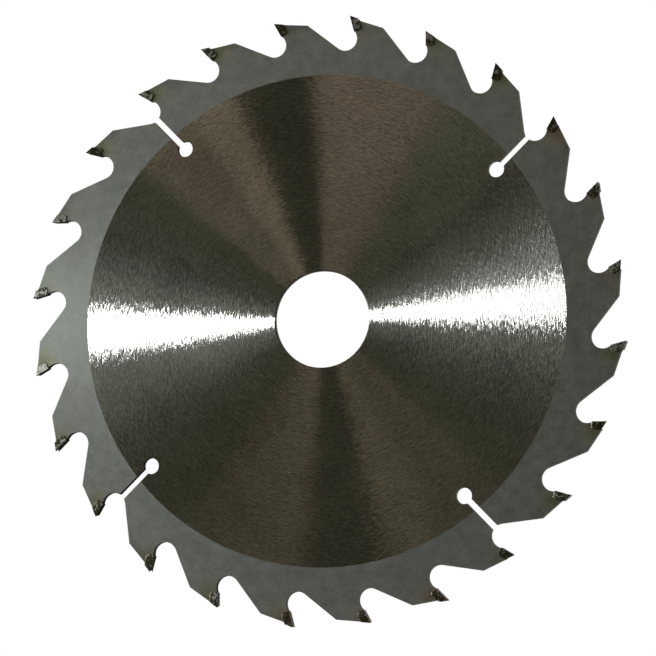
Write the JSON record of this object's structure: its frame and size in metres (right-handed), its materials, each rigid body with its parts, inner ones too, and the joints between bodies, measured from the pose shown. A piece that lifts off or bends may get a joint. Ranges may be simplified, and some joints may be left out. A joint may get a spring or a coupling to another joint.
{
  "type": "circular saw blade",
  "caption": "Carbide-tipped circular saw blade for ripping wood, with a plain round bore, expansion slots ending in round keyholes, and bevelled and hollow-topped teeth in turn.",
  "frame": {"origin": "centre of the bore, on the plate's mid-plane", "axes": "+Z along the bore axis and away from the floor, with the teeth pointing anticlockwise seen from +Z; +X and +Y lie in the plate"},
  "size_m": [0.1892, 0.1892, 0.003],
  "materials": {
    "plate_steel": "blasted grey rim, and a finely circular-ground centre field on both faces",
    "carbide": "sintered tungsten carbide, dark sides and lighter ground faces",
    "braze_alloy": "silver brazing alloy, pale gold, left as it flowed"
  },
  "bodies": {
    "root": {"saw_plate": "plate_steel", "tooth_tip_01": "carbide", "tooth_tip_02": "carbide", "tooth_tip_03": "carbide", "tooth_tip_04": "carbide", "tooth_tip_05": "carbide", "tooth_tip_06": "carbide", "tooth_tip_07": "carbide", "tooth_tip_08": "carbide", "tooth_tip_09": "carbide", "tooth_tip_10": "carbide", "tooth_tip_11": "carbide", "tooth_tip_12": "carbide", "tooth_tip_13": "carbide", "tooth_tip_14": "carbide", "tooth_tip_15": "carbide", "tooth_tip_16": "carbide", "tooth_tip_17": "carbide", "tooth_tip_18": "carbide", "tooth_tip_19": "carbide", "tooth_tip_20": "carbide", "tooth_tip_21": "carbide", "tooth_tip_22": "carbide", "tooth_tip_23": "carbide", "tooth_tip_24": "carbide", "braze_01": "braze_alloy", "braze_02": "braze_alloy", "braze_03": "braze_alloy", "braze_04": "braze_alloy", "braze_05": "braze_alloy", "braze_06": "braze_alloy", "braze_07": "braze_alloy", "braze_08": "braze_alloy", "braze_09": "braze_alloy", "braze_10": "braze_alloy", "braze_11": "braze_alloy", "braze_12": "braze_alloy", "braze_13": "braze_alloy", "braze_14": "braze_alloy", "braze_15": "braze_alloy", "braze_16": "braze_alloy", "braze_17": "braze_alloy", "braze_18": "braze_alloy", "braze_19": "braze_alloy", "braze_20": "braze_alloy", "braze_21": "braze_alloy", "braze_22": "braze_alloy", "braze_23": "braze_alloy", "braze_24": "braze_alloy"}
  },
  "joints": []
}
